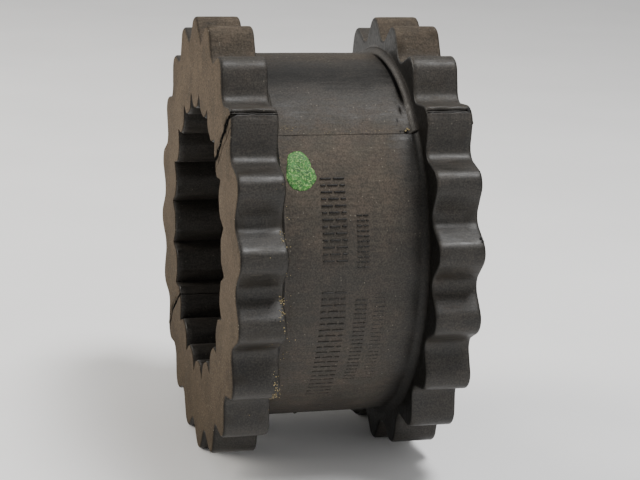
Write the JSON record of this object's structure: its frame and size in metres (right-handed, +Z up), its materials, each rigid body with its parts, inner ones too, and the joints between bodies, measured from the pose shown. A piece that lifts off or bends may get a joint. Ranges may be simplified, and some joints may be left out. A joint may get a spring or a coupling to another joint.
{
  "type": "split toothed coupling sleeve",
  "caption": "Black rubber toothed sleeve of a flexible coupling, split lengthwise into half sleeves, with lobed end rings joined by a plain tube and a scalloped bore.",
  "frame": {"origin": "middle of the sleeve: on its axis, half way between the two end faces", "axes": "X along the coupling's axis from the near end face to the far one, +Z up as the sleeve stands on two lobes, -Y the side with the paint daub"},
  "size_m": [0.047, 0.088, 0.088],
  "materials": {
    "moulded_rubber": "satin",
    "green_paint": "satin"
  },
  "bodies": {
    "lower_half": {"lower_half_sleeve": "moulded_rubber", "paint_mark": "green_paint"},
    "upper_half": {"upper_half_sleeve": "moulded_rubber"}
  },
  "joints": [
    {"name": "upper_half_lift", "type": "slide", "parent": "lower_half", "child": "upper_half", "axis": [0, 0.7071, 0.7071], "range_m": [0, 0.06]}
  ]
}
